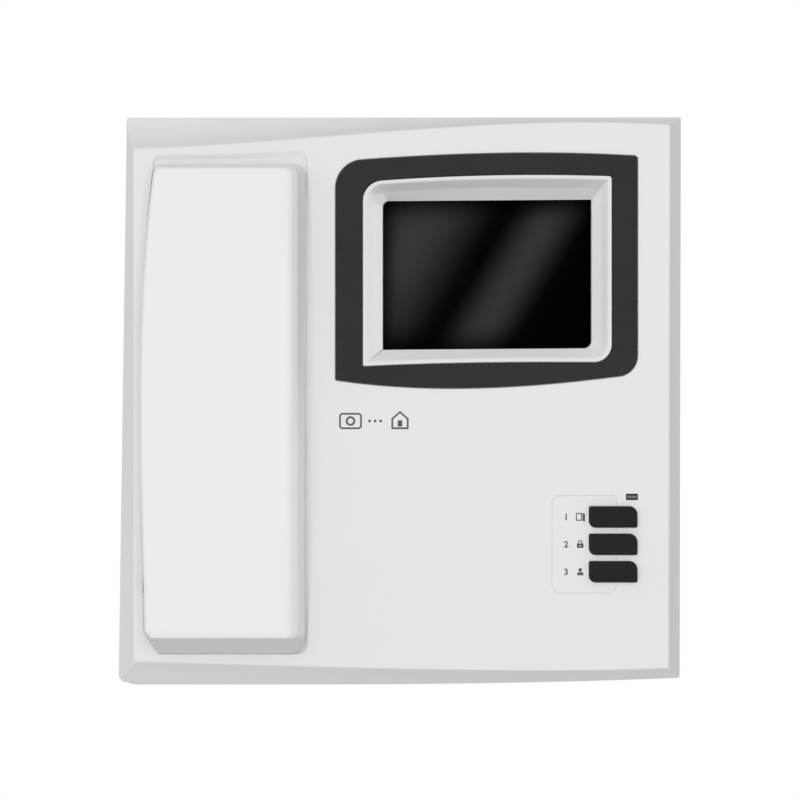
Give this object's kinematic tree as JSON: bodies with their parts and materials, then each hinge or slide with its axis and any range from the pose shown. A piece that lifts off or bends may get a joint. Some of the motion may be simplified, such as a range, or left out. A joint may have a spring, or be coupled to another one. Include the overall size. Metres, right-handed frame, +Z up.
{
  "type": "video intercom monitor",
  "caption": "Wall-mounted video door intercom monitor: square white casing with a lift-off handset, a small framed screen, push buttons and side thumbwheels.",
  "frame": {"origin": "centre of the wall bracket's rear face, which lies against the wall", "axes": "+X to the right of someone facing the screen, +Y into the wall, +Z up"},
  "size_m": [0.2243, 0.072, 0.2264],
  "materials": {
    "case_white": "fine satin moulding",
    "housing_white": "fine spark texture",
    "handset_white": "soft satin",
    "hook_white": "satin",
    "trim_charcoal": "fine horizontal striation",
    "bezel_grey": "satin",
    "screen_black": "polished",
    "button_black": "fine grain",
    "wheel_black": "notched rim",
    "lens_grey": "smoked",
    "zinc_steel": "zinc plated sheet",
    "screw_steel": "zinc plated",
    "core_steel": "lacquered",
    "weight_steel": "plain",
    "board_green": "solder mask",
    "component_black": "moulded",
    "socket_black": "moulded",
    "sleeve_blue": "shrink sleeve",
    "terminal_green": "moulded",
    "sink_aluminium": "extruded",
    "gasket_rubber": "foam",
    "ribbon_grey": "flat cable",
    "led_red": "clear tinted"
  },
  "bodies": {
    "base": {"wall_bracket": "zinc_steel", "rear_housing": "housing_white", "front_cover": "case_white", "trim_frame": "trim_charcoal", "screen_bezel": "bezel_grey", "screen_window": "screen_black", "display_panel": "core_steel", "display_board": "board_green", "display_screw_1": "screw_steel", "display_screw_2": "screw_steel", "display_ribbon": "ribbon_grey", "button_switch_1": "component_black", "button_switch_2": "component_black", "button_switch_3": "component_black", "button_board": "board_green", "button_board_screw_1": "screw_steel", "button_board_screw_2": "screw_steel", "indicator_lamp": "led_red", "indicator_lens": "lens_grey", "main_board": "board_green", "board_screw_1": "screw_steel", "board_screw_2": "screw_steel", "board_screw_3": "screw_steel", "board_screw_4": "screw_steel", "power_transformer": "core_steel", "reservoir_capacitor_1": "sleeve_blue", "reservoir_capacitor_2": "sleeve_blue", "heat_sink": "sink_aluminium", "voltage_regulator": "component_black", "lock_relay": "component_black", "terminal_block": "terminal_green", "volume_control": "component_black", "brightness_control": "component_black", "contrast_control": "component_black", "chime_speaker": "core_steel", "hook_spring": "screw_steel", "hook_switch": "component_black", "hook_board": "board_green", "base_socket": "socket_black", "cover_screw_1": "screw_steel", "cover_screw_2": "screw_steel", "cover_screw_3": "screw_steel", "cover_screw_4": "screw_steel"},
    "handset": {"handset_outer_shell": "handset_white", "handset_inner_shell": "handset_white", "receiver_capsule": "component_black", "receiver_gasket": "gasket_rubber", "microphone_capsule": "core_steel", "microphone_boot": "gasket_rubber", "handset_weight": "weight_steel", "handset_socket": "socket_black", "handset_screw_1": "screw_steel", "handset_screw_2": "screw_steel"},
    "hook": {"hook_plunger": "hook_white"},
    "monitor_button": {"button_monitor": "button_black"},
    "unlock_button": {"button_unlock": "button_black"},
    "call_button": {"button_call": "button_black"},
    "volume_wheel": {"volume_wheel": "wheel_black"},
    "brightness_wheel": {"brightness_wheel": "wheel_black"},
    "contrast_wheel": {"contrast_wheel": "wheel_black"}
  },
  "joints": [
    {"name": "handset_lift", "type": "slide", "parent": "base", "child": "handset", "axis": [0, -1, 0], "range_m": [0, 0.12]},
    {"name": "hook_slide", "type": "slide", "parent": "base", "child": "hook", "axis": [0, -1, 0], "range_m": [0, 0.004], "deforming": ["hook_spring"]},
    {"name": "monitor_press", "type": "slide", "parent": "base", "child": "monitor_button", "axis": [0, 1, 0], "range_m": [0, 0.0012], "stiffness_N_per_m": 400, "springref_m": -0.001},
    {"name": "unlock_press", "type": "slide", "parent": "base", "child": "unlock_button", "axis": [0, 1, 0], "range_m": [0, 0.0012], "stiffness_N_per_m": 400, "springref_m": -0.001},
    {"name": "call_press", "type": "slide", "parent": "base", "child": "call_button", "axis": [0, 1, 0], "range_m": [0, 0.0012], "stiffness_N_per_m": 400, "springref_m": -0.001},
    {"name": "volume_turn", "type": "hinge", "parent": "base", "child": "volume_wheel", "pos_m": [0.1013, -0.0177, -0.02], "axis": [0, -1, 0], "range_deg": [-135, 135]},
    {"name": "brightness_turn", "type": "hinge", "parent": "base", "child": "brightness_wheel", "pos_m": [0.1013, -0.0177, -0.045], "axis": [0, -1, 0], "range_deg": [-135, 135]},
    {"name": "contrast_turn", "type": "hinge", "parent": "base", "child": "contrast_wheel", "pos_m": [0.1013, -0.0177, -0.07], "axis": [0, -1, 0], "range_deg": [-135, 135]}
  ],
  "couplings": [
    {"joint": "hook_slide", "follows": "handset_lift", "ratio": 0.0333}
  ]
}
